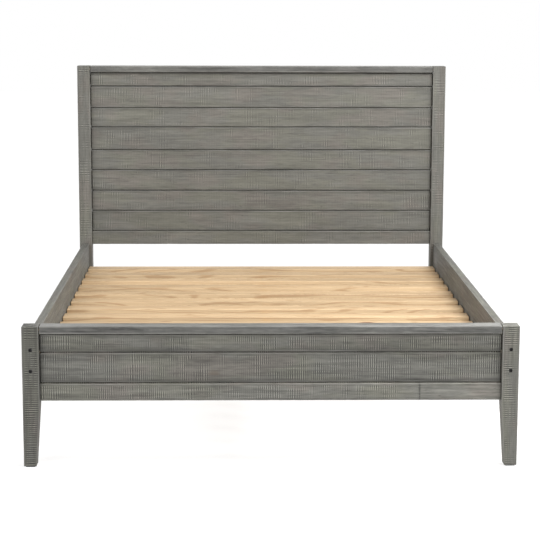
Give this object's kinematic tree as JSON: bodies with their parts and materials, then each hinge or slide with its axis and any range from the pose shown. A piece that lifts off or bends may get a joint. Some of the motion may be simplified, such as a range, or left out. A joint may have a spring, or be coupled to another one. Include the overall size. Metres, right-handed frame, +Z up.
{
  "type": "bed frame",
  "caption": "Queen-size wooden plank bed frame: tall headboard, low footboard, bolted side rails, slats and a centre rail on an adjustable foot.",
  "frame": {"origin": "on the floor, under the middle of the bed's outline", "axes": "+Z up, +Y from the foot towards the headboard along the bed's length, +X to the right as seen from the foot"},
  "size_m": [1.613, 2.16, 1.213],
  "materials": {
    "weathered_wood": "rough-sawn, weathered grey-brown stain",
    "pine": "planed, unfinished",
    "beech": "fluted, unfinished",
    "black_steel": "black oxide",
    "zinc_steel": "zinc plated",
    "black_plastic": "moulded, matt"
  },
  "bodies": {
    "bed": {"barrel_nuts": "zinc_steel", "brace_screws": "zinc_steel", "centre_leg": "pine", "centre_leg_insert": "zinc_steel", "centre_leg_screws": "zinc_steel", "centre_rail": "pine", "centre_rail_pocket_foot": "zinc_steel", "centre_rail_pocket_head": "zinc_steel", "floor_glides": "black_plastic", "footboard_bottom_rail": "weathered_wood", "footboard_brace": "weathered_wood", "footboard_cap_rail": "weathered_wood", "footboard_leg_left": "weathered_wood", "footboard_leg_right": "weathered_wood", "footboard_middle_plank": "weathered_wood", "footboard_upper_plank": "weathered_wood", "headboard_brace": "weathered_wood", "headboard_panel_rail": "weathered_wood", "headboard_plank_1": "weathered_wood", "headboard_plank_2": "weathered_wood", "headboard_plank_3": "weathered_wood", "headboard_plank_4": "weathered_wood", "headboard_plank_5": "weathered_wood", "headboard_plank_6": "weathered_wood", "headboard_plank_7": "weathered_wood", "headboard_plank_8": "weathered_wood", "headboard_post_left": "weathered_wood", "headboard_post_right": "weathered_wood", "headboard_stretcher": "weathered_wood", "headboard_top_rail": "weathered_wood", "ledger_left": "pine", "ledger_right": "pine", "ledger_screws": "zinc_steel", "panel_dowels": "beech", "pocket_screws": "zinc_steel", "rail_bolts": "black_steel", "rail_dowels": "beech", "side_rail_left": "weathered_wood", "side_rail_right": "weathered_wood", "slat_01": "pine", "slat_02": "pine", "slat_03": "pine", "slat_04": "pine", "slat_05": "pine", "slat_06": "pine", "slat_07": "pine", "slat_08": "pine", "slat_09": "pine", "slat_10": "pine", "slat_11": "pine", "slat_12": "pine", "slat_13": "pine", "slat_screws": "zinc_steel"},
    "levelling_pad": {"foot_pad": "black_plastic"},
    "levelling_stem": {"foot_stem": "zinc_steel"}
  },
  "joints": [
    {"name": "pad_travel", "type": "slide", "parent": "bed", "child": "levelling_pad", "axis": [0, 0, -1], "range_m": [-0.01, 0.01]},
    {"name": "stem_turn", "type": "hinge", "parent": "levelling_pad", "child": "levelling_stem", "pos_m": [0, 0, 0.02], "axis": [0, 0, -1], "range_deg": [-2880, 2880]}
  ],
  "couplings": [
    {"joint": "stem_turn", "follows": "pad_travel", "rad_per_m": 5026.5}
  ]
}
